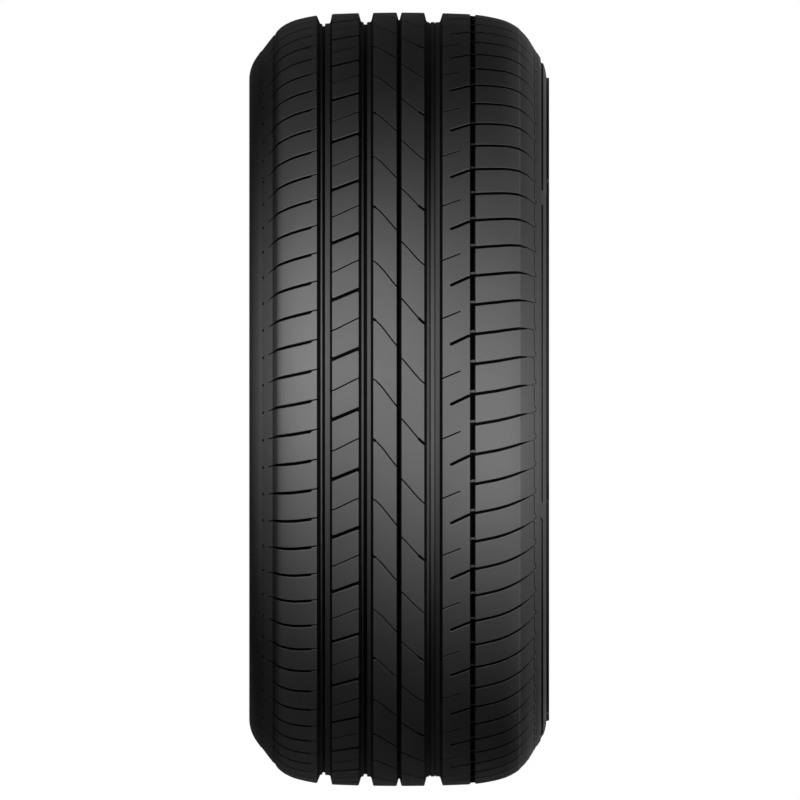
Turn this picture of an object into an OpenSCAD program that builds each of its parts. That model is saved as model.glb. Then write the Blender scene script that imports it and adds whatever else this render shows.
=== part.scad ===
// Car tyre, 255/45 R17, lying on its sidewall.
// The spin axis is Z and the origin is the centre of the tyre. +Z is the side with the serrated shoulder.
// The tread is one moulding with the carcass: a revolved section with its drafted circumferential
// grooves, out of which one pitch of slots and sipes is cut, turned round the axis.

/* [Overall] */
// Diameter over the crown of the tread
outer_d = 661.4; // [652:0.2:670]
// Width across the bulge of the sidewalls
section_w = 256.5; // [252:0.5:262]
// Diameter of the bead seats, for a 17 inch rim
bead_d = 436.6; // [434:0.2:440]
// Distance that the outer face of each bead stands inside the bulge, for an 8.5 inch rim
bead_inset = 20.3; // [18:0.1:22]

/* [Tread outline] */
// Radius of the crown across the middle of the tread
crown_radius = 1340; // [900:10:2000]
// Distance from the bulge in to where the crown starts to fall away
crown_inset = 71.85; // [68:0.05:76]
// Radius that leads from the crown to the shoulder
blend_radius = 141; // [120:1:160]
// Slope of the tread where the shoulder starts, in degrees
blend_slope = 15; // [13:0.5:17]
// Radius of the shoulder
shoulder_radius = 43; // [40:0.5:46]
// Slope of the flank below the shoulder, in degrees
flank_slope = 55; // [52:0.5:57]
// Radius of the upper sidewall, from the flank to the widest place
upper_wall_radius = 33; // [28:0.5:36]
// Radius of the lower sidewall, below the widest place
lower_wall_radius = 76; // [70:1:90]

/* [Grooves] */
// Depth of the three wide grooves
groove_depth = 7.8; // [6:0.1:8.5]
// Depth of the two narrow grooves
narrow_depth = 6.4; // [5:0.1:7.5]
// Draft of the groove walls, in degrees
groove_draft = 15; // [8:0.5:18]
// Wide groove by the plain shoulder: place of its middle
groove_a_z = -63.9; // [-66:0.1:-62]
// Wide groove by the plain shoulder: width at the mouth
groove_a_w = 13; // [11:0.1:14]
// Wide groove on the plain side of the centre: place of its middle
groove_b_z = -28.4; // [-30:0.1:-27]
// Wide groove on the plain side of the centre: width at the mouth
groove_b_w = 12.5; // [11:0.1:14]
// Narrow groove by the centre: place of its middle
groove_c_z = -0.1; // [-1:0.1:1]
// Narrow groove by the centre: width at the mouth
groove_c_w = 4.2; // [3.6:0.1:5]
// Wide groove on the serrated side of the centre: place of its middle
groove_d_z = 29.3; // [28:0.1:30]
// Wide groove on the serrated side of the centre: width at the mouth
groove_d_w = 15.6; // [13:0.1:16]
// Narrow groove by the serrated shoulder: place of its middle
groove_e_z = 62.9; // [62:0.1:64]
// Narrow groove by the serrated shoulder: width at the mouth
groove_e_w = 4.6; // [4:0.1:5.4]

/* [Slots and sipes] */
// Number of pitches round the tread; each shoulder has two slots to a pitch
pitches = 40; // [36:1:44]
// Width of the slots
slot_w = 2.6; // [2:0.1:3]
// Width of the sipes
sipe_w = 1.2; // [1:0.1:1.6]
// Depth of the slots and sipes
slot_depth = 6; // [4:0.1:6.5]
// Depth of the shoulder slots at the crease
crease_depth = 3; // [2:0.1:4]
// Depth at which the shoulder slots end
fade_depth = 0.6; // [0.4:0.1:1]
// Distance from the bulge in to where the slots of the plain shoulder narrow
plain_crease_inset = 21.85; // [20:0.05:25]
// Distance from the bulge in to where the slots of the plain shoulder end
plain_end_inset = 15.85; // [10:0.05:18]
// Distance from the bulge in to where the slots of the serrated shoulder narrow
serrated_crease_inset = 24.75; // [22:0.05:27]
// Distance from the bulge in to where the slots of the serrated shoulder end
serrated_end_inset = 13.05; // [11:0.05:16]

/* [Raised ring and band] */
// Height of the raised ring on the serrated sidewall
ring_h = 2.3; // [1.5:0.1:3]
// Width of the ring's flat top
ring_w = 5.5; // [4:0.1:8]
// Distance from the widest place out to the ring's outer edge
ring_out = 1.7; // [0.5:0.1:3]
// Number of gaps in the ring, each with its bar across the band
ring_gaps = 6; // [4:2:8]
// Length of each gap along the ring
gap_len = 15.5; // [10:0.5:20]
// Depth of each gap below the ring's top
gap_depth = 1.6; // [1:0.1:2]
// Depth of the sunk band outside the ring
band_depth = 1.1; // [0.6:0.1:1.4]
// Slope of the wall at the outer edge of the band, in degrees
band_outer_slope = 56; // [55.5:0.5:58]
// Slope of the wall at the inner edge of the band, in degrees
band_inner_slope = 64; // [61:0.5:68]
// Length of each bar along the band
bar_len = 15; // [10:0.5:20]
// Slant of each bar, in degrees
bar_slant = 48; // [0:1:55]

/* [Carcass and beads] */
// Thickness under the crown, from the tread surface to the inner liner
crown_wall = 16.4; // [15:0.1:18]
// Thickness of the sidewall at its widest place
side_wall = 9.2; // [7:0.1:11]
// Distance from the bulge in to the edge of the belt's flat inside
belt_inset = 50.25; // [46:0.25:54]
// Slope of the inner liner from the sidewall down to the bead, in degrees
liner_slope = 37; // [34:0.5:39]
// Radius of the inner liner where the sidewall turns down to the bead
liner_radius = 20; // [16:0.5:24]
// Length of the round bead seat
seat_len = 10.4; // [9:0.1:11.5]
// Radius of the bead heel
heel_radius = 6.5; // [5.5:0.1:7.5]
// Depth of the toe inside the seat
toe_drop = 1.1; // [0.6:0.1:1.6]
// Length of the toe beyond the seat
toe_len = 4; // [3:0.1:5]
// Height of the rim flange that the bead leans on
flange_h = 17.5; // [16.5:0.1:18.5]
// Radius of the curl of the rim flange
flange_curl = 9.5; // [8.5:0.1:10]
// Width of the rim protector rib along the radius
protector_w = 5.5; // [4:0.1:7]
// Distance that the rim protector stands inside the widest place
protector_inset = 3.2; // [2:0.1:5]

/* [Hidden] */
outer_r = outer_d / 2;
half_w = section_w / 2;
seat_r = bead_d / 2;
bead_z = half_w - bead_inset;
crown_half = half_w - crown_inset;
belt_half = half_w - belt_inset;
plain_crease_z = half_w - plain_crease_inset;
plain_end_z = half_w - plain_end_inset;
serrated_crease_z = half_w - serrated_crease_inset;
serrated_end_z = half_w - serrated_end_inset;
pitch = 360 / pitches;
overcut = 2;
sipe_steps = 4;
slot_reach = 40;

// Turn of each set of cuts from the start of a pitch, as a share of the pitch
plain_shoulder_turn = 0.08;
serrated_shoulder_turn = -0.139;
rib_slot_turn = 0.25;
rib_sipe_turn = -0.24;
plain_sipe_turn = -0.124;
serrated_sipe_turn = 0.5;
outer_sipe_turn = -0.4;
blind_slot_turn = 0;
// The ring's gaps come in two sets: turn of the first gap, turn from a gap to its bar, lean of the bar
gap_turns = [46.9, -11.6];
bar_turns = [2.1, 5.2];
bar_leans = [-1, 1];

// Place across the tread at a share of the way from one groove to another
function between(from, to, share) = from + (to - from) * share;

// Middle lines of the cuts, as [along the turn, place across the tread] points.
// A line that starts or ends at the middle of a groove opens into that groove.
plain_bend = 12.4;
serrated_bend = 3.1;
sipe_inset = 3;
sipe_end_inset = 4;
plain_shoulder_line = [[-4.6, groove_a_z], [-2.2, groove_a_z - plain_bend],
    [3.4, -plain_crease_z], [6.2, -plain_end_z]];
serrated_shoulder_line = [[3.2, groove_e_z], [2.6, groove_e_z + serrated_bend],
    [-4.4, serrated_crease_z], [-6.2, serrated_end_z]];
rib_line = [[5.6, groove_a_z], [-6, groove_b_z]];
plain_sipe_line = [[-12, groove_b_z + sipe_inset], [-11.4, between(groove_b_z, groove_c_z, 0.4)],
    [8.1, between(groove_b_z, groove_c_z, 0.74)], [14.4, groove_c_z]];
serrated_sipe_line = [[-13.6, groove_c_z], [-4, between(groove_c_z, groove_d_z, 0.29)],
    [9, between(groove_c_z, groove_d_z, 0.51)], [14, groove_d_z - sipe_end_inset]];
outer_sipe_line = [[4, groove_d_z], [-4, between(groove_d_z, groove_e_z, 0.68)]];
blind_slot_line = [[4.5, between(groove_d_z, groove_e_z, 0.44)], [-5, groove_e_z]];

// Unit vector at an angle from straight out (0) to sideways (90), as [radius, height]
function dir(a) = [cos(a), sin(a)];
// Points of an arc round a centre
function arc(centre, radius, a0, a1, steps) =
    [for (i = [0 : steps]) centre + radius * dir(a0 + (a1 - a0) * i / steps)];
// Point of a curve with four control points
function curve_point(p, t) =
    pow(1 - t, 3) * p[0] + 3 * t * pow(1 - t, 2) * p[1] + 3 * t * t * (1 - t) * p[2] + pow(t, 3) * p[3];
function flipped(points) = [for (i = [len(points) - 1 : -1 : 0]) [points[i][0], -points[i][1]]];

// Outer contour from the crown to the widest place: arcs that run smoothly into each other
crown_slope = asin(crown_half / crown_radius);
crown_centre = [outer_r - crown_radius, 0];
blend_centre = crown_centre + (crown_radius - blend_radius) * dir(crown_slope);
shoulder_centre = blend_centre + (blend_radius - shoulder_radius) * dir(blend_slope);
flank_top = shoulder_centre + shoulder_radius * dir(flank_slope);
flank_foot_z = half_w - upper_wall_radius * (1 - sin(flank_slope));
flank_foot = [flank_top[0] - (flank_foot_z - flank_top[1]) * tan(flank_slope), flank_foot_z];
upper_wall_centre = flank_foot - upper_wall_radius * dir(flank_slope);
widest_r = upper_wall_centre[0];

// Radius of the tread surface at a height
function tread_r(z) = let (h = abs(z))
    h <= crown_half ? crown_centre[0] + sqrt(pow(crown_radius, 2) - h * h) :
    h <= blend_centre[1] + blend_radius * sin(blend_slope) ?
        blend_centre[0] + sqrt(pow(blend_radius, 2) - pow(h - blend_centre[1], 2)) :
    h <= flank_top[1] ?
        shoulder_centre[0] + sqrt(pow(shoulder_radius, 2) - pow(h - shoulder_centre[1], 2)) :
    flank_top[0] - (h - flank_top[1]) * tan(flank_slope);

// The tread's contour bends inside the grooves, and each rib is one smooth band
contour_breaks = [0, (groove_d_z - groove_b_z) / 2, (groove_e_z - groove_a_z) / 2];

// Lower sidewall, rim protector, flange seat, heel, seat and toe
lower_wall_centre = [widest_r, half_w - lower_wall_radius];
flange_top_r = seat_r + flange_h;
curl_centre = [flange_top_r - flange_curl, bead_z + flange_curl];
protector_foot_r = flange_top_r + 3;
protector_z = half_w - protector_inset;
protector_top_r = protector_foot_r + protector_w;
lower_wall_end = 90 + asin((widest_r - protector_top_r - protector_inset) / lower_wall_radius);
toe_z = bead_z - heel_radius - seat_len - toe_len;
toe_r = seat_r - toe_drop;

wall_step = (90 - flank_slope) / 5;
upper_wall = arc(upper_wall_centre, upper_wall_radius, flank_slope + wall_step, 90 - wall_step, 3);
lower_wall = concat(arc(lower_wall_centre, lower_wall_radius, 96, lower_wall_end, 3),
    [[protector_top_r, protector_z], [protector_foot_r, protector_z]]);

bead_contour = concat(
    [[flange_top_r + 1, curl_centre[1] + 2]],
    arc(curl_centre, flange_curl, 0, -90, 5),
    arc([seat_r + heel_radius, bead_z - heel_radius], heel_radius, 90, 180, 4),
    [[seat_r, bead_z - heel_radius - seat_len], [toe_r, toe_z + toe_len / 3],
     [toe_r, toe_z], [seat_r + toe_drop, toe_z - toe_drop]]);

// Inner liner, from the bead up to the crown
liner_z = half_w - side_wall;
liner_crown_r = outer_r - crown_wall;
liner_slope_top = asin(belt_half / crown_radius);
liner_crown_centre = [liner_crown_r - crown_radius, 0];
liner_shoulder_radius = (liner_z - belt_half) / (1 - sin(liner_slope_top));
liner_shoulder_centre = liner_crown_centre + (crown_radius - liner_shoulder_radius) * dir(liner_slope_top);
liner_foot_centre = [liner_shoulder_centre[0], liner_z - liner_radius];
liner_foot = liner_foot_centre + liner_radius * dir(90 + liner_slope);
bead_inner_r = seat_r + 4;

liner_contour = concat(
    [[bead_inner_r, liner_foot[1] - (liner_foot[0] - bead_inner_r) * tan(liner_slope)]],
    arc(liner_foot_centre, liner_radius, 90 + liner_slope, 90, 4),
    arc(liner_shoulder_centre, liner_shoulder_radius, 82, liner_slope_top, 10),
    arc(liner_crown_centre, crown_radius, liner_slope_top * 0.6, 0, 2));

tread_contour = concat(
    [for (z = contour_breaks) [tread_r(z), z]],
    arc(shoulder_centre, shoulder_radius, blend_slope, flank_slope, 4));

// The wall of the serrated side lies lower, so that its raised ring is what reaches the bulge
press = (half_w - ring_h - flank_top[1]) / (half_w - flank_top[1]);
function pressed(points) = [for (p = points) [p[0], flank_top[1] + (p[1] - flank_top[1]) * press]];
ring_outer_r = widest_r + ring_out;
ring_inner_r = ring_outer_r - ring_w;
ring_draft = 0.4;
ring_contour = [[ring_outer_r + ring_draft, half_w - ring_h], [ring_outer_r, half_w],
    [ring_inner_r, half_w], [ring_inner_r - ring_draft, half_w - ring_h]];

plain_half = concat(tread_contour, upper_wall, [[widest_r, half_w]], lower_wall,
    bead_contour, liner_contour);
serrated_half = concat(tread_contour, pressed(upper_wall), ring_contour, pressed(lower_wall),
    bead_contour, liner_contour);

// The sunk band between the flank and the ring: its two edges, and the directions along and out of it
band_edges = pressed([for (a = [band_outer_slope, band_inner_slope])
    upper_wall_centre + upper_wall_radius * dir(a)]);
band_along = (band_edges[1] - band_edges[0]) / norm(band_edges[1] - band_edges[0]);
band_out = [band_along[1], -band_along[0]];
band_middle_r = (band_edges[0][0] + band_edges[1][0]) / 2;

// A groove's outline across the tread, wider at its mouth
module groove(middle, mouth_w, depth) {
    lip = overcut * tan(groove_draft);
    foot = mouth_w / 2 - depth * tan(groove_draft);
    translate([tread_r(middle) - depth, middle])
        polygon([[0, -foot], [0, foot],
            [depth + overcut, mouth_w / 2 + lip], [depth + overcut, -mouth_w / 2 - lip]]);
}

module section() {
    difference() {
        polygon(concat(serrated_half, flipped(plain_half)));
        groove(groove_a_z, groove_a_w, groove_depth);
        groove(groove_b_z, groove_b_w, groove_depth);
        groove(groove_c_z, groove_c_w, narrow_depth);
        groove(groove_d_z, groove_d_w, groove_depth);
        groove(groove_e_z, groove_e_w, narrow_depth);
    }
}

// Copies of a cut round the tread, the first one at an angle
module around(count, phase) {
    for (i = [0 : count - 1])
        rotate([0, 0, phase + i * 360 / count]) children();
}

// A cut drawn as seen from outside: across the page is along the turn, up the page is +Z
module plan_cut(floor_r) {
    translate([floor_r, 0, 0])
        rotate([90, 0, 90])
            linear_extrude(height = outer_r - floor_r + overcut) children();
}

// Outline of a cut along a path of [along, z] points, with its width at each point
function path_normal(path, i) =
    let (d = path[min(i + 1, len(path) - 1)] - path[max(i - 1, 0)]) [-d[1], d[0]] / norm(d);
module ribbon(path, widths) {
    sides = [for (i = [0 : len(path) - 1]) path_normal(path, i) * widths[min(i, len(widths) - 1)] / 2];
    polygon(concat(
        [for (i = [0 : len(path) - 1]) path[i] + sides[i]],
        [for (i = [len(path) - 1 : -1 : 0]) path[i] - sides[i]]));
}

// A curved sipe right across a rib, steep in its middle and flatter at one end
module sipe(controls) {
    middle = curve_point(controls, 0.5);
    plan_cut(tread_r(middle[1]) - slot_depth)
        ribbon([for (i = [0 : sipe_steps]) curve_point(controls, i / sipe_steps)], [sipe_w]);
}

// A straight cut on a rib, along the line between two [along, z] points
module straight_cut(line, width) {
    plan_cut(tread_r((line[0][1] + line[1][1]) / 2) - slot_depth)
        ribbon(line, [width]);
}

// A shoulder slot: full width as far as the crease, and from there a fine line that fades out
module shoulder_slot(path, widths, side) {
    start = abs(path[0][1]);
    crease = abs(path[2][1]);
    end = abs(path[3][1]);
    floor_line = [[start, slot_depth], [(start + crease) / 2, slot_depth],
        [crease, crease_depth], [end, fade_depth]];
    intersection() {
        plan_cut(tread_r(end) - slot_depth) ribbon(path, widths);
        rotate([90, 0, 0])
            linear_extrude(height = slot_reach, center = true)
                polygon(concat([for (s = floor_line) [tread_r(s[0]) - s[1], side * s[0]]],
                    [[outer_r + overcut, side * end], [outer_r + overcut, side * start]]));
    }
}

module shoulder_slots() {
    around(2 * pitches, pitch * plain_shoulder_turn)
        shoulder_slot(plain_shoulder_line, [sipe_w, slot_w, slot_w, sipe_w], -1);
    around(2 * pitches, pitch * serrated_shoulder_turn)
        shoulder_slot(serrated_shoulder_line, [slot_w, slot_w, slot_w, sipe_w], 1);
}

module rib_cuts() {
    around(pitches, pitch * rib_slot_turn) straight_cut(rib_line, slot_w);
    around(pitches, pitch * rib_sipe_turn) straight_cut(rib_line, sipe_w);
    around(pitches, pitch * plain_sipe_turn) sipe(plain_sipe_line);
    around(pitches, pitch * serrated_sipe_turn) sipe(serrated_sipe_line);
    around(pitches, pitch * outer_sipe_turn) straight_cut(outer_sipe_line, sipe_w);
    around(pitches, pitch * blind_slot_turn) straight_cut(blind_slot_line, slot_w);
}

// A gap in the raised ring, with slanted ends
module ring_gap() {
    floor_z = half_w - gap_depth;
    mouth = gap_len / 2 + gap_depth + overcut;
    plan_cut(ring_inner_r - overcut)
        polygon([[-gap_len / 2, floor_z], [gap_len / 2, floor_z],
            [mouth, half_w + overcut], [-mouth, half_w + overcut]]);
}

// The sunk band, left standing where the slanted bars cross it
module sunk_band() {
    foot = band_along * band_depth / 2 - band_out * band_depth;
    difference() {
        rotate_extrude($fn = 180)
            polygon([band_edges[0] + band_out * overcut, band_edges[0] + foot,
                band_edges[1] + foot - band_along * band_depth, band_edges[1] + band_out * overcut]);
        for (k = [0, 1])
            around(ring_gaps / 2, gap_turns[k] + bar_turns[k]) band_bar(bar_leans[k]);
    }
}

// A bar seen along the spin axis, as [radius, along the turn] points
module band_bar(lean) {
    reach = band_edges[0][0] - band_middle_r + 2 * overcut;
    shift = lean * reach * tan(bar_slant);
    translate([band_middle_r, 0, 0])
        linear_extrude(height = half_w)
            polygon([[-reach, -shift - bar_len / 2], [reach, shift - bar_len / 2],
                [reach, shift + bar_len / 2], [-reach, -shift + bar_len / 2]]);
}

module tyre() {
    color([0.07, 0.07, 0.075])
        difference() {
            rotate_extrude($fn = 180) section();
            shoulder_slots();
            rib_cuts();
            for (turn = gap_turns)
                around(ring_gaps / 2, turn) ring_gap();
            sunk_band();
        }
}

tyre();
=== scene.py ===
import bpy
import bmesh
from math import asin, atan, ceil, cos, degrees, pi, radians, sin, tan
from mathutils import Matrix, Vector


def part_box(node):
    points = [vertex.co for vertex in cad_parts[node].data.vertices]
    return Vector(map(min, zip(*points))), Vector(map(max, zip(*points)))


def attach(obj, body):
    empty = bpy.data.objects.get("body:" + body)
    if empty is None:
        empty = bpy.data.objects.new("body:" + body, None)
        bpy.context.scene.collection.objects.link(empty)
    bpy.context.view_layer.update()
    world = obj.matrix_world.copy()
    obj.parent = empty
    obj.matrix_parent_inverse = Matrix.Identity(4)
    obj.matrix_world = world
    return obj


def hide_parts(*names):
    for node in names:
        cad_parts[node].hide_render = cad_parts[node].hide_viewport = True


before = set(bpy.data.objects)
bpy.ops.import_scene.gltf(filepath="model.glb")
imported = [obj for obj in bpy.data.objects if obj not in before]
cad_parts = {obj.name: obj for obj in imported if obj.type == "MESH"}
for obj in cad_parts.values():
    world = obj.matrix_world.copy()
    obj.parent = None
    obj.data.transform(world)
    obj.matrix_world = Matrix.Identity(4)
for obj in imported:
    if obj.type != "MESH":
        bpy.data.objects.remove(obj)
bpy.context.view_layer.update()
nodeLow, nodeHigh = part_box("tyre")

# The tyre lies on its sidewall: Z is the spin axis. Sizes are in millimetres up to the materials.
# "across" runs over the tread from bead to bead (towards +Z), "along" runs round the tyre.
mm = 0.001
outline = {
    "outerRadius": nodeHigh.x / mm,
    "halfWidth": nodeHigh.z / mm,
    "crownRadius": 1340.0,
    "crownHalf": 56.4,
    "blendRadius": 141.0,
    "blendSlope": 15.0,
    "shoulderRadius": 43.0,
    "flankSlope": 55.0,
    "upperWallRadius": 33.0,
    "lowerWallRadius": 76.0,
    "treadEdge": 118.6,         # height where the moulded tread strip meets the sidewall
    "ringHeight": 2.3,          # the +Z wall is pressed lower by this much, so that its ring reaches the bulge
}


def direction(angle):
    return Vector((cos(angle), sin(angle)))


# One stretch of the tread's contour after another, each running smoothly into the next
def contourArcs():
    o = outline
    arcs = []
    centre = Vector((o["outerRadius"] - o["crownRadius"], 0.0))
    start, slope = 0.0, 0.0
    radius = o["crownRadius"]
    stops = [(asin(o["crownHalf"] / radius), o["blendRadius"]),
             (radians(o["blendSlope"]), o["shoulderRadius"]),
             (radians(o["flankSlope"]), None)]
    for stop, nextRadius in stops:
        length = radius * (stop - slope)
        arcs.append({"centre": centre, "radius": radius, "slope": slope, "start": start, "length": length})
        start += length
        slope = stop
        if nextRadius:
            centre = centre + (radius - nextRadius) * direction(slope)
            radius = nextRadius
    return arcs, start


treadArcs, flankStart = contourArcs()
flank = radians(outline["flankSlope"])
flankTop = treadArcs[-1]["centre"] + treadArcs[-1]["radius"] * direction(flank)
pressedShare = (outline["halfWidth"] - outline["ringHeight"] - flankTop.y) / (outline["halfWidth"] - flankTop.y)


# Height on the +Z side once its wall is pressed
def press(height):
    return flankTop.y + (height - flankTop.y) * pressedShare if height > flankTop.y else height


# Point on the tread's contour as (radius, height, slope), at a distance across from the crown
def contourPoint(across):
    far = abs(across)
    side = 1.0 if across >= 0 else -1.0
    for arc in treadArcs:
        if far <= arc["start"] + arc["length"] or arc is treadArcs[-1]:
            slope = arc["slope"] + min(far - arc["start"], arc["length"]) / arc["radius"]
            point = arc["centre"] + arc["radius"] * direction(slope)
            if far <= arc["start"] + arc["length"]:
                return point.x, side * point.y, slope
    rest = far - flankStart
    height = point.y + rest * cos(slope)
    if side > 0:
        height, slope = press(height), atan(tan(slope) / pressedShare)
    return point.x - rest * sin(flank), side * height, slope


# Distance across from the crown for a height over the mid-plane
def acrossAt(height):
    low, high = 0.0, 200.0
    for _ in range(50):
        middle = (low + high) / 2
        if abs(contourPoint(middle if height >= 0 else -middle)[1]) < abs(height):
            low = middle
        else:
            high = middle
    return low if height >= 0 else -low


def clearSelection():
    for item in bpy.context.selected_objects:
        item.select_set(False)


def makeActive(piece):
    clearSelection()
    piece.select_set(True)
    bpy.context.view_layer.objects.active = piece


def editMode(piece):
    makeActive(piece)
    bpy.ops.object.mode_set(mode="EDIT")


def objectMode():
    bpy.ops.object.mode_set(mode="OBJECT")


def drawMesh(name, points, faces=(), edges=()):
    mesh = bpy.data.meshes.new(name)
    mesh.from_pydata([tuple(p) for p in points], list(edges), list(faces))
    piece = bpy.data.objects.new(name, mesh)
    bpy.context.collection.objects.link(piece)
    return piece


def joined(pieces, name):
    clearSelection()
    for piece in pieces:
        piece.select_set(True)
    bpy.context.view_layer.objects.active = pieces[0]
    if len(pieces) > 1:
        bpy.ops.object.join()
    pieces[0].name = name
    return pieces[0]


# Rounds the corners of an open line of (x, y, radius)
def filleted(corners, steps=2):
    points = []
    for i, (x, y, radius) in enumerate(corners):
        here = Vector((x, y))
        if radius == 0 or i in (0, len(corners) - 1):
            points.append(here)
            continue
        before = (Vector(corners[i - 1][:2]) - here).normalized()
        after = (Vector(corners[i + 1][:2]) - here).normalized()
        half = before.angle(after) / 2
        reach = radius / tan(half)
        centre = here + (before + after).normalized() * (radius / sin(half))
        first = here + before * reach - centre
        turn = first.angle_signed(here + after * reach - centre)
        points += [centre + Matrix.Rotation(-turn * k / steps, 2) @ first for k in range(steps + 1)]
    return points


# The tread pattern

tread = {
    "pitches": 40,
    "depth": 7.8,
    "narrowDepth": 6.4,
    "draft": 15.0,
    "lipRadius": 1.0,
    "floorRadius": 1.4,
    "slab": 13.0,               # thickness of the strip that the pattern is cut into
    "lift": 2.0,                # how far the cutters stand over the surface
    "margin": 3.0,              # cutters that come this near to a pitch's ends are kept
    "stepsPerPitch": 4,
    "firstRow": 66.0,           # height from which rows follow the round shoulder
    "acrossStep": 5.5,          # spacing of those rows
}
# middle (height), width at the mouth, deep or narrow, and the (height, width, depth) of lines in its floor
grooves = [(-63.9, 13.0, "depth", [(-65.4, 2.6, 2.0)]), (-28.4, 12.5, "depth", [(-29.1, 3.1, 2.0)]),
           (-0.1, 4.2, "narrowDepth", []),
           (29.3, 15.6, "depth", [(26.4, 1.6, 0.8), (30.8, 0.9, 0.7)]), (62.9, 4.6, "narrowDepth", [])]
# (height, depth, rounding) where the shoulders step down to their plain outer faces
plainStep = [(-117.9, 0.5, 0.5), (-108.2, 1.1, 0.5), (-107.3, 1.5, 0.4), (-106.5, 1.15, 0.6), (-104.6, 0.5, 2.0),
             (-101.5, 0.12, 3.0), (-98.5, 0.0, 0.0)]
serratedStep = [(102.4, 0.0, 0.5), (104.2, 0.4, 1.0), (117.7, 0.4, 0.3)]
pitchAngle = 360.0 / tread["pitches"]
pitchLength = radians(pitchAngle) * outline["outerRadius"]
plainEdge, serratedEdge = acrossAt(-outline["treadEdge"]), acrossAt(outline["treadEdge"])


# A place on the flat strip for a height and an angle from the pitch's middle
def place(height, angle):
    return Vector((acrossAt(height), radians(angle) * outline["outerRadius"]))


def curvePoints(a, b, c, d, shares):
    return [(1 - t) ** 3 * a + 3 * t * (1 - t) ** 2 * b + 3 * t * t * (1 - t) * c + t ** 3 * d for t in shares]


# Closed outline of a cut along a path, with its width and depth at each point
def ribbon(path, widths, depths, roundStart=False):
    left, right = [], []
    for i, point in enumerate(path):
        run = (path[min(i + 1, len(path) - 1)] - path[max(i - 1, 0)]).normalized()
        side = Vector((-run.y, run.x)) * widths[min(i, len(widths) - 1)] / 2
        depth = depths[min(i, len(depths) - 1)]
        left.append((point + side, depth))
        right.append((point - side, depth))
    ring = right + left[::-1]
    if roundStart:
        centre, depth = path[0], depths[0]
        first = left[0][0] - centre
        for k in range(1, 4):
            ring.append((centre + Matrix.Rotation(k * pi / 4, 2) @ first, depth))
    return ring


def grown(ring, distance):
    points = []
    count = len(ring)
    for i in range(count):
        before = (ring[i][0] - ring[i - 1][0]).normalized()
        after = (ring[(i + 1) % count][0] - ring[i][0]).normalized()
        normal = Vector((before.y + after.y, -before.x - after.x))
        normal.normalize()
        stretch = 1 / max(0.5, normal.dot(Vector((before.y, -before.x))))
        points.append(ring[i][0] + normal * distance * stretch)
    return points


slot = {
    "width": 2.7,
    "rib": 3.1,
    "ribEnd": 4.7,
    "fine": 1.15,
    "notch": 2.3,
    "depth": 6.0,
    "sipeDepth": 5.0,
    "flare": 0.4,
    "fineFlare": 0.25,
    "dimpleRadius": 1.3,
    "dimpleDepth": 2.4,
    "dimpleFlare": 0.2,
    "taper": 0.12,              # how much a slot's foot is narrower on each side
}


# A cutter for one slot: slightly drafted walls and a flared, chamfered mouth
def cutter(ring, flare):
    base = [Vector((p.x, p.y, -ring[i][1])) for i, p in enumerate(grown(ring, -slot["taper"]))]
    lip = [Vector((p.x, p.y, -min(flare, depth * 0.5))) for p, depth in ring]
    top = [Vector((p.x, p.y, tread["lift"])) for p in grown(ring, flare + tread["lift"])]
    count = len(ring)
    faces = [tuple(range(count))[::-1], tuple(range(2 * count, 3 * count))]
    for level in range(2):
        for i in range(count):
            j = (i + 1) % count
            faces.append((level * count + i, level * count + j, (level + 1) * count + j, (level + 1) * count + i))
    return drawMesh("cutter", base + lip + top, faces)


# where the curved sipes are drawn, as shares of the curve; a close pair marks the step into the notched end
plainSipeShares = (0, 0.1, 0.2, 0.22, 0.35, 0.5, 0.65, 0.8, 0.9, 1)
serratedSipeShares = (0, 0.1, 0.2, 0.35, 0.5, 0.68, 0.7, 0.8, 0.9, 1)


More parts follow.
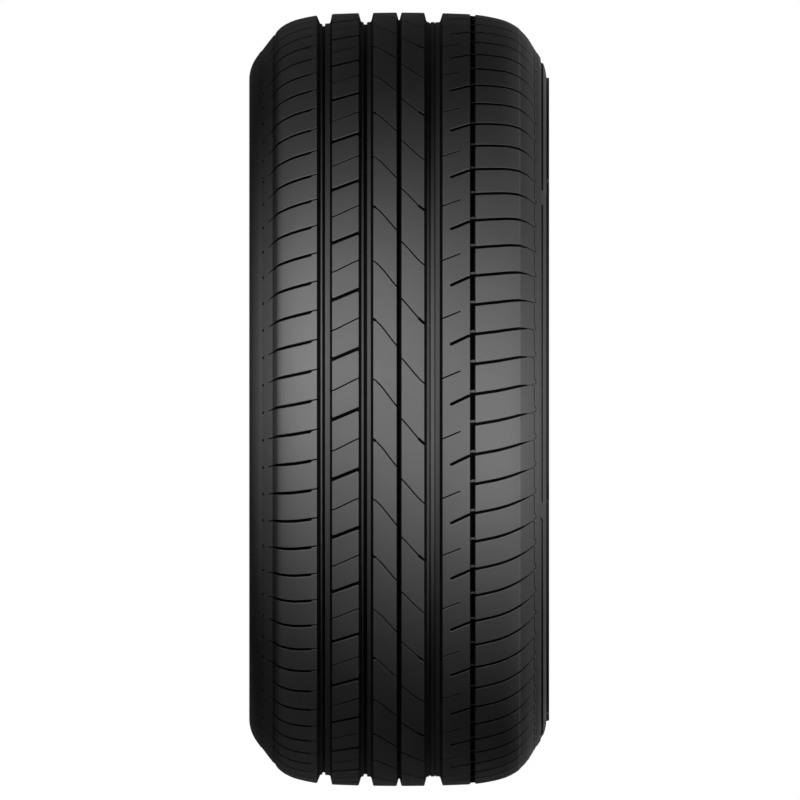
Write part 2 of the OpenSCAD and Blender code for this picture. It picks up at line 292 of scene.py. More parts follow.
# Every cut of one pitch as (outline, flare, turn); its paths are heights and turns from the pitch's middle
def patternCuts(notched):
    w, f, d, sd = slot["width"], slot["fine"], slot["depth"], slot["sipeDepth"]
    rib, ribEnd = slot["rib"], slot["ribEnd"]
    notch = slot["notch"] if notched else f
    rings = []
    for half in (0.0, pitchAngle / 2):
        # plain shoulder: narrow mouth, full slot, fine end and a dimple
        rings.append((ribbon([place(-65, -0.2), place(-74.4, 0.16), place(-76.3, 0.34), place(-89, 0.79),
                              place(-98, 1.08), place(-106.4, 1.37), place(-109, 1.6), place(-112.4, 1.88)],
                             [f, f, w, w, w, w * 0.85, 1.3, 0.9], [d, d, d, d, d, 3.6, 2.6, 2.1]),
                      slot["flare"], half))
        middle = place(-116.7, 2.2)
        circle = [(middle + slot["dimpleRadius"] * direction(k * pi / 4), slot["dimpleDepth"]) for k in range(8)]
        rings.append((circle, slot["dimpleFlare"], half))
        # serrated shoulder: a full slot that tapers out into the fine saw-tooth line round the block
        rings.append((ribbon([place(63.4, -0.72), place(84, -1.28), place(102.6, -2.02), place(110.5, -2.27),
                              place(114.7, -2.36), place(115.9, -2.0), place(115.9, 0.9), place(117.3, 1.5),
                              place(117.3, 1.9), place(115.4, 1.98)],
                             [w, w, w * 0.9, 1.1, 0.9], [d, d, 3.8, 1.7, 1.3, 1.2]), slot["fineFlare"], half))
    # across rib 2: a slot with its sharp block corners cut back, and a fine one
    rings.append((ribbon([place(-60, 3.14), place(-57.6, 2.96), place(-55.6, 2.95), place(-36.6, 1.55),
                          place(-34.4, 1.53), place(-30, 1.2)],
                         [ribEnd, ribEnd, rib, rib, ribEnd, ribEnd], [d]), slot["flare"], 0.0))
    rings.append((ribbon([place(-60, -1.1), place(-57.5, -1.26), place(-53.8, -1.5), place(-38, -2.9),
                          place(-34.4, -3.16), place(-30, -3.4)],
                         [f], [sd]), slot["fineFlare"], 0.0))
    # curved sipes in the two middle ribs, with a notch in every other one
    rings.append((ribbon(curvePoints(place(-25.5, -3.22), place(-17, -3.12), place(-7.5, 0.26), place(0.5, 1.45),
                                     plainSipeShares),
                         [notch, notch, notch, f], [sd]), slot["fineFlare"], 0.0))
    rings.append((ribbon(curvePoints(place(-1, 2.4), place(8.5, 3.81), place(15, 6.06), place(25, 7.05),
                                     serratedSipeShares),
                         [f, f, f, f, f, f, notch], [sd]), slot["fineFlare"], 0.0))
    # rib 5: a fine blind cut and a slot with a round end
    rings.append((ribbon([place(34, -2.87), place(52.4, -4.22)], [f], [sd]), slot["fineFlare"], 0.0))
    rings.append((ribbon([place(44.6, 0.75), place(58.5, -0.42), place(62.5, -0.66)], [w], [d], roundStart=True),
                  slot["flare"], 0.0))
    return rings


# A small bar across the narrow shoulder groove beside each slot
def tieBars():
    bar = {"from": 59.6, "to": 66.2, "at": -1.16, "lean": -0.1, "half": 1.0, "top": 1.2, "bottom": 9.0}
    pieces = []
    for k in range(-2, 4):
        turn = k * pitchAngle / 2
        ends = [place(bar["from"], bar["at"] + turn), place(bar["to"], bar["at"] + bar["lean"] + turn)]
        if abs(ends[0].y) > pitchLength / 2 - 2:
            continue
        ring = [ends[0] - Vector((0, bar["half"])), ends[1] - Vector((0, bar["half"])),
                ends[1] + Vector((0, bar["half"])), ends[0] + Vector((0, bar["half"]))]
        points = [(p.x, p.y, -depth) for depth in (bar["bottom"], bar["top"]) for p in ring]
        pieces.append(drawMesh("bar", points, [(3, 2, 1, 0), (4, 5, 6, 7), (0, 1, 5, 4), (1, 2, 6, 5),
                                               (2, 3, 7, 6), (3, 0, 4, 7)]))
    return joined(pieces, "bars")


# Cross-section of the flat strip: rounded rib edges, drafted walls, and floors with round corners
def stripSection():
    corners = [(plainEdge, -tread["slab"], 0), (plainEdge, 0, 0)]
    corners += [(acrossAt(z), -depth, radius) for z, depth, radius in plainStep]
    for height, width, kind, lines in grooves:
        middle, depth = acrossAt(height), tread[kind]
        foot = width / 2 - depth * tan(radians(tread["draft"]))
        floor = min(tread["floorRadius"], foot * 0.7)
        corners += [(middle - width / 2, 0, tread["lipRadius"]), (middle - foot, -depth, floor)]
        for lineHeight, lineWidth, lineDepth in lines:
            line = acrossAt(lineHeight)
            corners += [(line - lineWidth / 2, -depth, 0.2), (line - lineWidth * 0.4, -depth - lineDepth, 0),
                        (line + lineWidth * 0.4, -depth - lineDepth, 0), (line + lineWidth / 2, -depth, 0.2)]
        corners += [(middle + foot, -depth, floor), (middle + width / 2, 0, tread["lipRadius"])]
    corners += [(acrossAt(z), -depth, radius) for z, depth, radius in serratedStep]
    corners += [(serratedEdge, 0, 0), (serratedEdge, -tread["slab"], 0)]
    return filleted(corners)


def applyBoolean(piece, tool, operation):
    editMode(tool)
    bpy.ops.mesh.select_all(action="SELECT")
    bpy.ops.mesh.normals_make_consistent(inside=False)
    objectMode()
    change = piece.modifiers.new("pattern", "BOOLEAN")
    change.operation = operation
    change.solver = "EXACT"
    change.use_self = True
    change.object = tool
    makeActive(piece)
    bpy.ops.object.modifier_apply(modifier=change.name)
    bpy.data.objects.remove(tool)


def cutStrip(notched):
    section = stripSection()
    strip = drawMesh("strip", [(p.x, -pitchLength / 2, p.y) for p in section], [tuple(range(len(section)))])
    editMode(strip)
    bpy.ops.mesh.select_all(action="SELECT")
    bpy.ops.mesh.extrude_region_move(TRANSFORM_OT_translate={"value": (0, pitchLength, 0)})
    bpy.ops.mesh.select_all(action="SELECT")
    bpy.ops.mesh.normals_make_consistent(inside=False)
    objectMode()
    applyBoolean(strip, tieBars(), "UNION")
    cutters = []
    for ring, flare, shift in patternCuts(notched):
        for turn in (-1, 0, 1):
            move = Vector((0, radians(shift + turn * pitchAngle) * outline["outerRadius"]))
            moved = [(point + move, depth) for point, depth in ring]
            reach = [point.y for point, _ in moved]
            limit = pitchLength / 2 + tread["margin"]
            if max(reach) > -limit and min(reach) < limit:
                cutters.append(cutter(moved, flare))
    applyBoolean(strip, joined(cutters, "cutters"), "DIFFERENCE")
    return strip


# Selects the faces that a test picks, by their middle and normal
def selectFaces(piece, test):
    bpy.ops.mesh.select_mode(type="FACE")
    bpy.ops.mesh.select_all(action="DESELECT")
    mesh = bmesh.from_edit_mesh(piece.data)
    for face in mesh.faces:
        face.select = test(face)
    mesh.select_flush_mode()
    bmesh.update_edit_mesh(piece.data)


# Leaves only the strip's outer skin, with enough rows to bend it
def openSkin(strip):
    small = 0.001

    def hidden(face):
        spots = [v.co for v in face.verts]
        return (all(s.z < -tread["slab"] + small for s in spots)
                or abs(face.normal.y) > 0.99 and all(abs(abs(s.y) - pitchLength / 2) < small for s in spots)
                or any(all(abs(s.x - edge) < small for s in spots) for edge in (plainEdge, serratedEdge)))

    editMode(strip)
    selectFaces(strip, hidden)
    bpy.ops.mesh.delete(type="FACE")
    bpy.ops.mesh.select_all(action="SELECT")
    bpy.ops.mesh.vert_connect_concave()
    for i in range(1, tread["stepsPerPitch"]):
        bpy.ops.mesh.select_all(action="SELECT")
        bpy.ops.mesh.bisect(plane_co=(0, pitchLength * (i / tread["stepsPerPitch"] - 0.5), 0), plane_no=(0, 1, 0))
    firstRow = acrossAt(tread["firstRow"])
    for side, end in ((-1, -plainEdge), (1, serratedEdge)):
        rows = ceil((end - firstRow) / tread["acrossStep"])
        for i in range(rows):
            bpy.ops.mesh.select_all(action="SELECT")
            bpy.ops.mesh.bisect(plane_co=(side * (firstRow + (end - firstRow) * i / rows), 0, 0), plane_no=(1, 0, 0))
    bpy.ops.mesh.select_all(action="SELECT")
    bpy.ops.mesh.remove_doubles(threshold=0.01)
    bpy.ops.mesh.dissolve_degenerate(threshold=0.01)
    objectMode()


# Painted shade in the grooves, slots and on the tie bars, by depth and by slope
shades = {
    "lip": 0.4,                 # as deep as this the rib edges keep the surface's colour
    "steep": 0.75,              # what leans more than this is a wall, by its normal's height
    "line": 0.3,                # what lies this far below a groove's floor is a line in it
    "linePerMm": 0.8,
    "shallow": 2.0,
    "barTop": (1.15, 68.0, 0.3),    # the tie bars: from this depth on, up to this height, and their shade
    "floor": (1.2, 0.2),        # a wide groove's floor: within this of its depth, and its shade
}


# How much painted shade a face of the flat strip takes for lying in the dark of a groove or slot, from 0 to 1
def pocketShade(face):
    depth = -face.center.z
    if depth < shades["lip"]:
        return 0.0
    if face.normal.z < shades["steep"]:
        return 1.0
    if depth > tread["depth"] + shades["line"]:
        return min(1.0, (depth - tread["depth"]) * shades["linePerMm"])
    if depth < shades["shallow"]:
        start, reach, share = shades["barTop"]
        return share if depth > start and abs(face.center.x) < acrossAt(reach) else 0.0
    rise, share = shades["floor"]
    wide = any(abs(face.center.x - acrossAt(z)) < w / 2 for z, w, kind, _ in grooves if kind == "depth")
    return share if wide and depth > tread["depth"] - rise else 1.0


# Writes each face's share of painted shade, which the rubber's material reads
def markPockets(mesh, shade):
    marks = mesh.attributes.new("pocket", "FLOAT", "FACE")
    for face in mesh.polygons:
        marks.data[face.index].value = shade(face)


# Wraps the flat strip round the tyre: across follows the contour, along turns round the axis
def wrapStrip(strip):
    mesh = strip.data
    markPockets(mesh, pocketShade)
    depthMark = mesh.attributes.new("depth", "FLOAT", "POINT")
    for vertex in mesh.vertices:
        across, along, height = vertex.co
        radius, rise, slope = contourPoint(across)
        side = 1.0 if across >= 0 else -1.0
        radius += height * cos(slope)
        rise += side * height * sin(slope)
        angle = radians(-90) + along / outline["outerRadius"]
        depthMark.data[vertex.index].value = -height
        vertex.co = Vector((radius * cos(angle), radius * sin(angle), rise)) * mm


def wholeTread():
    strips = []
    for notched in (False, True):
        strip = cutStrip(notched)
        openSkin(strip)
        wrapStrip(strip)
        strips.append(strip)
        print("pitch cut:", len(strip.data.polygons), "faces, sipes notched:", notched)
    pieces = []
    for k in range(tread["pitches"]):
        pitch = strips[k % 2].copy()
        pitch.data = strips[k % 2].data.copy()
        pitch.data.transform(Matrix.Rotation(radians(k * pitchAngle), 4, "Z"))
        bpy.context.collection.objects.link(pitch)
        pieces.append(pitch)
    for strip in strips:
        bpy.data.objects.remove(strip)
    return joined(pieces, "tread")


# Sidewalls, beads and liner

bead = {
    "seatRadius": 218.3,
    "seatLength": 10.4,
    "heelRadius": 6.5,
    "faceHeight": 107.95,
    "toeLength": 4.0,
    "toeDrop": 1.1,
    "flangeHeight": 17.5,
    "flangeCurl": 9.5,
    "protectorWidth": 5.5,
    "protectorInset": 3.2,
    "protectorFoot": 3.0,
    "innerStep": 4.0,
}
liner = {"crownWall": 16.4, "sideWall": 9.2, "beltHalf": 78.0, "slope": 37.0, "radius": 20.0}


def arcPoints(centre, radius, start, end, steps):
    return [centre + radius * direction(radians(start + (end - start) * i / steps)) for i in range(steps + 1)]


# The +Z wall's raised ring, its sunk band, and the gaps and slanted bars in them. Turns are in degrees
rimRing = {
    "outward": 1.7,             # from the widest place out to the ring's outer edge
    "width": 5.5,
    "draft": 0.4,
    "footFillet": 0.4,
    "topFillet": 0.5,
    "bandFillet": 0.3,
    "bandLean": 0.5,            # how far the band's flanks lean in
    "gapLength": 15.5,
    "gapDepth": 1.6,
    "bandSlopes": (56.0, 64.0),
    "bandDepth": 1.1,
    "barLength": 15.0,
    "barSlant": 48.0,
    "sets": [(46.9, 2.1, -1), (-11.6, 5.2, 1)],     # turn of a gap, turn on to its bar, lean of the bar
    "perSet": 3,
    "reach": 18.0,              # how far along from its middle a gap or bar can change the faces
    "darkest": 0.9,             # painted shade of the creases
    "darkSide": 0.8,            # painted shade of the ring's sides
    "darkFloor": 0.3,           # painted shade of the band's floor
}


# The band's two edges, the way from one to the other, and the way out of it
def sunkBand(upper):
    edges = []
    for slope in rimRing["bandSlopes"]:
        x, y = upper + outline["upperWallRadius"] * direction(radians(slope))
        edges.append(Vector((x, press(y))))
    along = (edges[1] - edges[0]).normalized()
    out = Vector((along.y, -along.x))
    return edges, along, out


def wallCentre():
    o = outline
    footHeight = o["halfWidth"] - o["upperWallRadius"] * (1 - sin(flank))
    foot = Vector((flankTop.x - (footHeight - flankTop.y) * tan(flank), footHeight))
    return foot - o["upperWallRadius"] * direction(flank)


# From the tread strip's edge down over the sidewall, as (radius, height)
def outerWall(ringed):
    o = outline
    upper = wallCentre()
    lower = Vector((upper.x, o["halfWidth"] - o["lowerWallRadius"]))
    r, z, _ = contourPoint(acrossAt(o["treadEdge"] if ringed else -o["treadEdge"]))
    points = [Vector((r, abs(z)))]
    if not ringed:
        points += arcPoints(upper, o["upperWallRadius"], o["flankSlope"], 90, 9)
        return points + arcPoints(lower, o["lowerWallRadius"], 93, lowerWallEnd(), 7)
    edges, along, out = sunkBand(upper)
    depth, lean = out * rimRing["bandDepth"], along * rimRing["bandLean"]
    sunk = (edges[0], edges[0] - depth + lean, edges[1] - depth - lean, edges[1])
    points += filleted([(*points[0], 0), *[(*corner, rimRing["bandFillet"]) for corner in sunk],
                        (*arcPressed(upper, 67, 68, 1)[0], 0)])[1:-1]
    points += arcPressed(upper, 68, 84, 4)
    outer = upper.x + rimRing["outward"]
    inner = outer - rimRing["width"]
    foot, top, draft = o["halfWidth"] - o["ringHeight"], o["halfWidth"], rimRing["draft"]
    footFillet, topFillet = rimRing["footFillet"], rimRing["topFillet"]
    points += filleted([(*points[-1], 0), (outer + draft, foot, footFillet), (outer, top, topFillet),
                        (inner, top, topFillet), (inner - draft, foot, footFillet),
                        (*arcPressed(lower, 96, 97, 1, o["lowerWallRadius"])[0], 0)])[1:-1]
    return points + arcPressed(lower, 96, lowerWallEnd(), 6, o["lowerWallRadius"])


def arcPressed(centre, start, end, steps, radius=outline["upperWallRadius"]):
    return [Vector((p.x, press(p.y))) for p in arcPoints(centre, radius, start, end, steps)]


def lowerWallEnd():
    protectorTop = bead["seatRadius"] + bead["flangeHeight"] + bead["protectorFoot"] + bead["protectorWidth"]
    drop = wallCentre().x - protectorTop - bead["protectorInset"]
    return 90 + degrees(asin(drop / outline["lowerWallRadius"]))


# Round the bead, from the outer wall's last point to the seat's end
def beadWall(last, ringed):
    o, b = outline, bead
    flangeTop = b["seatRadius"] + b["flangeHeight"]
    protectorFoot = flangeTop + b["protectorFoot"]
    protectorHeight = o["halfWidth"] - b["protectorInset"]
    if ringed:
        protectorHeight = press(protectorHeight)
    curl = Vector((flangeTop - b["flangeCurl"], b["faceHeight"] + b["flangeCurl"]))
    points = filleted([(last.x, last.y, 0), (protectorFoot + b["protectorWidth"], protectorHeight, 1.0),
                       (protectorFoot, protectorHeight, 1.2), (flangeTop + 1, curl.y + 2, 1.0),
                       (curl.x + b["flangeCurl"], curl.y, 0)])[1:-1]
    points += arcPoints(curl, b["flangeCurl"], 0, -90, 8)
    points += arcPoints(Vector((b["seatRadius"] + b["heelRadius"], b["faceHeight"] - b["heelRadius"])),
                        b["heelRadius"], 90, 180, 6)
    return points


# From the bead's seat round its toe and up the liner to the crown
def linerWall():
    o, b = outline, bead
    seatEnd = b["faceHeight"] - b["heelRadius"] - b["seatLength"]
    toe = seatEnd - b["toeLength"]
    toeRadius = b["seatRadius"] - b["toeDrop"]
    linerHeight = o["halfWidth"] - liner["sideWall"]
    topSlope = degrees(asin(liner["beltHalf"] / o["crownRadius"]))
    innerCrown = Vector((o["outerRadius"] - liner["crownWall"] - o["crownRadius"], 0))
    shoulderRadius = (linerHeight - liner["beltHalf"]) / (1 - sin(radians(topSlope)))
    shoulder = innerCrown + (o["crownRadius"] - shoulderRadius) * direction(radians(topSlope))
    footCentre = Vector((shoulder.x, linerHeight - liner["radius"]))
    linerFoot = footCentre + liner["radius"] * direction(radians(90 + liner["slope"]))
    beadInner = b["seatRadius"] + b["innerStep"]
    beadTop = Vector((beadInner, linerFoot.y - (linerFoot.x - beadInner) * tan(radians(liner["slope"]))))
    points = filleted([(b["seatRadius"], seatEnd + 1, 0), (b["seatRadius"], seatEnd, 1.0),
                       (toeRadius, toe + b["toeLength"] / 3, 1.0), (toeRadius, toe, 0.5),
                       (b["seatRadius"] + b["toeDrop"], toe - b["toeDrop"], 0.5),
                       (beadTop.x, beadTop.y, 4.0), (linerFoot.x, linerFoot.y, 0)])[1:-1]
    points += arcPoints(footCentre, liner["radius"], 90 + liner["slope"], 90, 6)
    points += arcPoints(shoulder, shoulderRadius, 86, topSlope, 16)
    points += arcPoints(innerCrown, o["crownRadius"], topSlope * 0.66, 0, 2)
    return points


# The six gaps and six bars, each with its turn, radius and lean, half its length and its depth, and the radii
# between which it lies; a gap takes down only what stands above its floor
def ringDetails():
    outer = wallCentre().x + rimRing["outward"]
    inner = outer - rimRing["width"]
    edges = sunkBand(wallCentre())[0]
    details = []
    for gapTurn, barTurn, lean in rimRing["sets"]:
        for k in range(rimRing["perSet"]):
            turn = radians(gapTurn + k * 360 / rimRing["perSet"])
            details.append({"turn": turn, "radius": (outer + inner) / 2, "lean": 0.0,
                            "half": rimRing["gapLength"] / 2, "depth": rimRing["gapDepth"],
                            "low": inner - 1, "high": outer + 1, "floor": outline["halfWidth"] - 0.8})
            details.append({"turn": turn + radians(barTurn), "radius": (edges[0].x + edges[1].x) / 2,
                            "lean": lean * tan(radians(rimRing["barSlant"])),
                            "half": rimRing["barLength"] / 2, "depth": rimRing["bandDepth"],
                            "low": edges[1].x - 1, "high": edges[0].x + 1, "floor": None})
    return details


# Takes the ring's top down in a gap
def lowerRing(vertex, floor, depth):
    above = vertex.co.z / mm - floor
    if above > 0:
        vertex.co.z -= depth * mm * min(1.0, above / 0.5)


# Brings the band's floor up to the wall round it in a bar
def raiseBand(vertex):
    edges, _, out = sunkBand(wallCentre())
    radial = vertex.co.xy.length / mm
    lift = max(0.0, (edges[0] - Vector((radial, vertex.co.z / mm))).dot(out))
    if lift > 0.02:
        grow = (radial + out.x * lift) / radial
        vertex.co.x *= grow
        vertex.co.y *= grow
        vertex.co.z += out.y * lift * mm


# Works the gaps and bars into the spun wall: cuts across it at both ends of each, then moves what lies between
def detailRing(wall):
    editMode(wall)
    for detail in ringDetails():
        turn = Matrix.Rotation(detail["turn"], 2)
        half, depth = detail["half"], detail["depth"]

        # whether a point of the +Z wall lies in the detail's radii and within a distance of its middle line
        def near(point, distance):
            spot = turn.transposed() @ (point.xy / mm)
            offset = abs(spot.y - detail["lean"] * (spot.x - detail["radius"]))
            return point.z > 0.1 and detail["low"] < spot.x < detail["high"] and offset < distance

        course = turn @ Vector((1, detail["lean"])).normalized()
        for step in (-half - depth, -half, half, half + depth):
            spot = turn @ Vector((detail["radius"], step)) * mm
            selectFaces(wall, lambda face: near(face.calc_center_median(), rimRing["reach"]))
            bpy.ops.mesh.bisect(plane_co=(*spot, 0), plane_no=(-course.y, course.x, 0))
        bpy.ops.mesh.select_all(action="DESELECT")
        mesh = bmesh.from_edit_mesh(wall.data)
        for vertex in mesh.verts:
            if near(vertex.co, half + 0.05) and detail["floor"]:
                lowerRing(vertex, detail["floor"], depth)
            elif near(vertex.co, half + 0.05):
                raiseBand(vertex)
        bmesh.update_edit_mesh(wall.data)
    bpy.ops.mesh.select_all(action="SELECT")
    bpy.ops.mesh.vert_connect_concave()
    objectMode()


# Painted shade in the creases at the ring's foot, on the ring's sides and along the band
def creaseShade(face):
    radial, height = face.center.xy.length / mm, face.center.z / mm
    edges, along, out = sunkBand(wallCentre())
    spot = Vector((radial, height))
    sunk = (edges[0] - spot).dot(out)
    if height < 110:
        return 0.0
    if 0 < (spot - edges[0]).dot(along) < (edges[1] - edges[0]).length and sunk > 0.1:
        return rimRing["darkFloor"] if sunk > rimRing["bandDepth"] - 0.1 else rimRing["darkest"]
    outer = wallCentre().x + rimRing["outward"]
    side = min(abs(radial - outer), abs(radial - outer + rimRing["width"]))
    if side > 1.2 or height > outline["halfWidth"] - 0.4:
        return 0.0
    foot = outline["halfWidth"] - outline["ringHeight"]
    return rimRing["darkest"] if abs(height - foot) < 0.6 else rimRing["darkSide"]


def spunWalls():
    ringedSide, plainSide = [outerWall(ringed) for ringed in (True, False)]
    ringedSide += beadWall(ringedSide[-1], True) + linerWall()
    plainSide += beadWall(plainSide[-1], False) + linerWall()
    profile = ringedSide + [Vector((p.x, -p.y)) for p in plainSide[-2::-1]]
    wall = drawMesh("wall", [Vector((p.x, 0, p.y)) * mm for p in profile],
                    edges=[(i, i + 1) for i in range(len(profile) - 1)])
    editMode(wall)
    bpy.ops.mesh.select_all(action="SELECT")
    bpy.ops.mesh.spin(steps=tread["pitches"] * tread["stepsPerPitch"], angle=2 * pi,
                      center=(0, 0, 0), axis=(0, 0, 1))
    bpy.ops.mesh.select_all(action="SELECT")
    bpy.ops.mesh.remove_doubles(threshold=1e-5)
    bpy.ops.mesh.normals_make_consistent(inside=False)
    objectMode()
    detailRing(wall)
    markPockets(wall.data, creaseShade)
    print("walls spun:", len(wall.data.polygons), "faces")
    return wall


def makeTyre():
    tyre = joined([wholeTread(), spunWalls()], "car_tyre")
    editMode(tyre)
    bpy.ops.mesh.select_all(action="SELECT")
    bpy.ops.mesh.remove_doubles(threshold=1.2e-5)
    bpy.ops.mesh.normals_make_consistent(inside=False)
    objectMode()
    makeActive(tyre)
    bpy.ops.object.shade_smooth_by_angle(angle=radians(32))
    return tyre


# Materials

class Value:
    def __init__(self, tree, socket):
        self.tree = tree
        self.socket = socket

    def maths(self, operation, a, b):
        return self.tree.node("ShaderNodeMath", {"operation": operation}, {0: a, 1: b})

    def __add__(self, other):
        return self.maths("ADD", self, other)

    def __radd__(self, other):
        return self.maths("ADD", other, self)

    def __sub__(self, other):
        return self.maths("SUBTRACT", self, other)

    def __rsub__(self, other):
        return self.maths("SUBTRACT", other, self)

    def __mul__(self, other):
        return self.maths("MULTIPLY", self, other)

    def __rmul__(self, other):
        return self.maths("MULTIPLY", other, self)

    def atMost(self, limit):
        return self.maths("MINIMUM", self, limit)


class Tree:
    def __init__(self, owner):
        owner.use_nodes = True
        self.nodes = owner.node_tree.nodes
        self.links = owner.node_tree.links
        self.nodes.clear()

    # Any node: its type, its settings, the values or links of its sockets, and which output is wanted
    def node(self, kind, settings=None, values=None, output=0):
        made = self.nodes.new(kind)
        for key, value in (settings or {}).items():
            setattr(made, key, value)
        for key, value in (values or {}).items():
            if isinstance(value, Value):
                self.links.new(value.socket, made.inputs[key])
            else:
                made.inputs[key].default_value = value
        return Value(self, made.outputs[output]) if made.outputs else None

    # 0 below start, 1 above end, smooth between them
    def step(self, value, start, end):
        return self.node("ShaderNodeMapRange", {"interpolation_type": "SMOOTHSTEP"},
                         {"Value": value, "From Min": start, "From Max": end})

    def mixed(self, factor, first, second):
        return self.node("ShaderNodeMix", {"data_type": "RGBA"}, {"Factor": factor, 6: first, 7: second}, output=2)


# The rubber's grey is "base" on the middle ribs, and the shares below of it elsewhere
rubber = {
    "base": 0.07,
    "roughness": 0.9,
    "specular": 0.025,
    "cloudSpread": 0.06,
    "pocket": 0.04,             # painted shade inside the slots and on the groove walls
    # painted highlight: the rounded rib edges are this much lighter
    "paintedEdgeHighlight": 1.5,
    "plainFace": 0.84,          # the smooth outer face of the plain shoulder
    "wallFace": 0.85,           # the rest of the sidewalls
    "paintedShoulderLight": 1.3,              # painted light: the plain shoulder's blocks are this much lighter; the serrated ones take part of it
    "serratedLightShare": 0.4,
    "crease": 0.25,             # painted shade: the dark line where the plain shoulder steps down
}
# Where one shade gives way to the next: depths of the lip in millimetres, then heights and a radius in metres
shadeSteps = {
    "lipStart": (0.02, 0.3),
    "lipEnd": (0.35, 0.6),
    "plainFace": (-0.1085, -0.1065),
    "wallFace": (0.103, 0.104),
    "plainShoulderLight": (-0.068, -0.06),
    "serratedShoulderLight": (0.06, 0.066),
    "creaseStart": (-0.1087, -0.1079),
    "creaseEnd": (-0.1077, -0.0988),
    "outside": (0.28, 0.285),
}


def grey(share):
    level = rubber["base"] * share
    return (level, level, level * 1.01, 1.0)


def rubberMaterial():
    material = bpy.data.materials.new("rubber")
    t = Tree(material)
    coords = t.node("ShaderNodeTexCoord", output="Object")
    cloud = t.node("ShaderNodeTexNoise", values={"Vector": coords, "Scale": 22.0, "Detail": 4.0})
    grain = t.node("ShaderNodeTexNoise", values={"Vector": coords, "Scale": 1400.0, "Detail": 2.0})
    depth, pocket = [t.node("ShaderNodeAttribute", {"attribute_name": name}, output="Fac")
                     for name in ("depth", "pocket")]
    height = t.node("ShaderNodeSeparateXYZ", values={0: coords}, output="Z")
    flat = t.node("ShaderNodeVectorMath", {"operation": "MULTIPLY"}, {0: coords, 1: (1, 1, 0)})
    radius = t.node("ShaderNodeVectorMath", {"operation": "LENGTH"}, {0: flat}, output="Value")

    def past(value, name):
        return t.step(value, *shadeSteps[name])

    def clouded(share):
        return t.mixed(cloud, grey(share * (1 - rubber["cloudSpread"])), grey(share * (1 + rubber["cloudSpread"])))

    # painted highlight along the rounded rib edges, by depth under the surface
    lip = past(depth, "lipStart") * (1 - past(depth, "lipEnd"))
    # painted light on the shoulder blocks: all of it on the plain side, part of it on the serrated side
    paintedShoulderLight = 1 - past(height, "plainShoulderLight") + past(height, "serratedShoulderLight") * rubber["serratedLightShare"]
    # painted shade in the crease where the plain shoulder steps down, kept off the liner
    crease = past(height, "creaseStart") * (1 - past(height, "creaseEnd")) * past(radius, "outside")
    colour = t.mixed(paintedShoulderLight, clouded(1.0), clouded(rubber["paintedShoulderLight"]))
    for factor, share in ((lip, "paintedEdgeHighlight"), (past(height, "wallFace"), "wallFace"),
                          (1 - past(height, "plainFace"), "plainFace"), (crease, "crease"), (pocket, "pocket")):
        colour = t.mixed(factor, colour, grey(rubber[share]))
    bump = t.node("ShaderNodeBump", values={"Height": grain, "Strength": 0.15, "Distance": 0.0002})
    shader = t.node("ShaderNodeBsdfPrincipled", values={
        "Base Color": colour, "Roughness": rubber["roughness"] + (cloud - 0.5) * 0.1,
        "Specular IOR Level": rubber["specular"], "Normal": bump})
    t.node("ShaderNodeOutputMaterial", values={"Surface": shader})
    return material


# The share of white that the camera, mirrors and glass see in place of the plainly lit floor or world
def seenShare(tree):
    camera, glossy, transmission = [tree.node("ShaderNodeLightPath", output=name)
                                    for name in ("Is Camera Ray", "Is Glossy Ray", "Is Transmission Ray")]
    return (camera + glossy + transmission).atMost(1.0)


# Mostly white to the camera, with a tenth of its own lit grey, so that the tyre's shadow shows
def floorMaterial():
    material = bpy.data.materials.new("floor")
    t = Tree(material)
    shader = t.node("ShaderNodeBsdfPrincipled", values={"Base Color": (0.5, 0.5, 0.5, 1), "Roughness": 0.8})
    glow = t.node("ShaderNodeEmission", values={"Color": (1, 1, 1, 1), "Strength": 1.0})
    mixed = t.node("ShaderNodeMixShader", values={0: seenShare(t) * 0.9, 1: shader, 2: glow})
    t.node("ShaderNodeOutputMaterial", values={"Surface": mixed})
    return material


# The photo is square on to the tread with the spin axis level, so the camera is rolled a quarter turn:
# the picture's right is +Z and its top is -X. Studio sizes are in metres and watts.

studio = {
    "pictureWidth": 0.684,      # what the frame spans
    "cameraDistance": 1.8,
    "tyreOffset": (-0.0007, 0.0006),    # the tyre's middle in the picture, right and up
}


def makeCamera():
    data = bpy.data.cameras.new("camera")
    camera = bpy.data.objects.new("camera", data)
    bpy.context.collection.objects.link(camera)
    data.type = "ORTHO"
    data.ortho_scale = studio["pictureWidth"]
    right, up = studio["tyreOffset"]
    camera.matrix_world = Matrix(((0, -1, 0, up), (0, 0, -1, -studio["cameraDistance"]),
                                  (1, 0, 0, -right), (0, 0, 0, 1)))
    bpy.context.scene.camera = camera


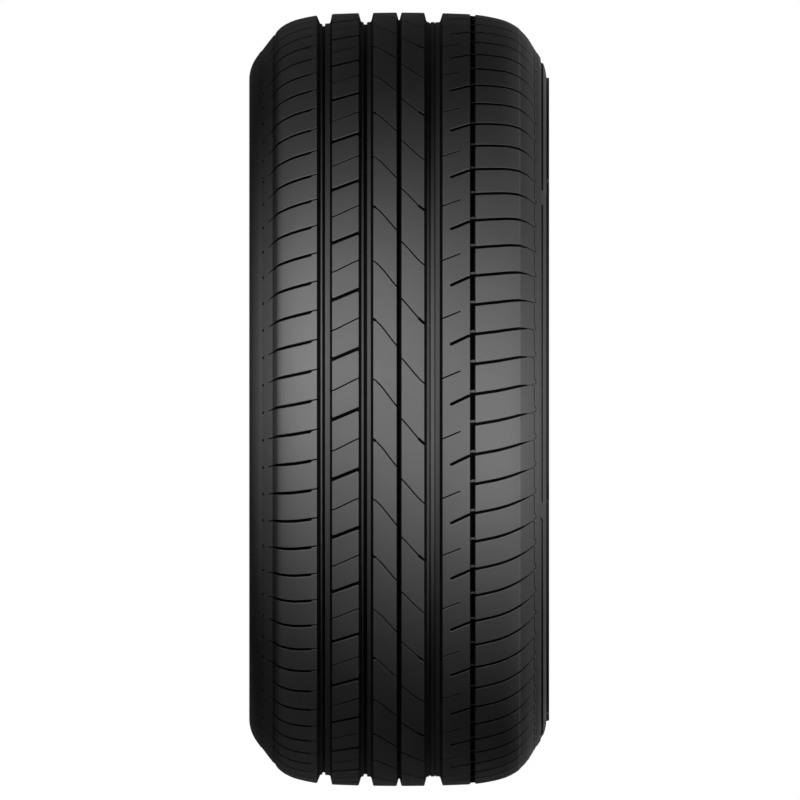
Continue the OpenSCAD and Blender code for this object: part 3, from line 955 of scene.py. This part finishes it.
# Lamps as (name, spot, size, power). The photo's light stands close in front of the crown and leaves the top
# and bottom dark. The one above also shows the sidewall, and the one behind only serves the other views.
lamps = [
    ("front", (-0.05, -0.52, -0.08), (0.2, 0.08), 0.66),
    ("upper", (-0.12, -0.52, -0.08), (0.12, 0.12), 0.15),
    ("right", (0.0, -0.55, 0.25), (0.12, 0.12), 0.9),
    ("above", (-0.15, -0.2, 0.9), (0.4, 0.4), 3.5),
    ("lower", (0.08, -0.44, 0.12), (0.1, 0.1), 0.15),
    ("back", (0.0, 1.4, 0.8), (1.0, 1.0), 12.0),
]


# An area lamp that looks at the tyre's middle, and isn't seen itself
def lamp(name, spot, size, power):
    data = bpy.data.lights.new(name, "AREA")
    data.shape = "RECTANGLE"
    data.size, data.size_y = size
    data.energy = power
    light = bpy.data.objects.new(name, data)
    bpy.context.collection.objects.link(light)
    light.location = spot
    light.rotation_mode = "QUATERNION"
    light.rotation_quaternion = (-Vector(spot)).to_track_quat("-Z", "Y")
    light.visible_camera = False


# White as seen, but hardly any light from it on the tyre
def makeWorld():
    world = bpy.data.worlds.new("studio")
    bpy.context.scene.world = world
    t = Tree(world)
    ambient = t.node("ShaderNodeBackground", values={"Color": (1, 1, 1, 1), "Strength": 0.02})
    white = t.node("ShaderNodeBackground", values={"Color": (1, 1, 1, 1), "Strength": 1.0})
    mixed = t.node("ShaderNodeMixShader", values={0: seenShare(t), 1: ambient, 2: white})
    t.node("ShaderNodeOutputWorld", values={"Surface": mixed})


def makeStudio():
    bpy.ops.mesh.primitive_plane_add(size=8, location=(0, 0, nodeLow.z))
    floor = bpy.context.active_object
    floor.name = "floor"
    floor.data.materials.append(floorMaterial())
    for values in lamps:
        lamp(*values)
    makeWorld()
    bpy.context.scene.view_settings.view_transform = "Standard"


makeCamera()
print("camera done")
tyre = makeTyre()
triangles = sum(len(face.vertices) - 2 for face in tyre.data.polygons)
print("tyre joined:", len(tyre.data.vertices), "points", triangles, "triangles")
tyre.data.materials.clear()
tyre.data.materials.append(rubberMaterial())
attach(tyre, "root")
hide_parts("tyre")
print("rubber done")
makeStudio()
print("studio done")
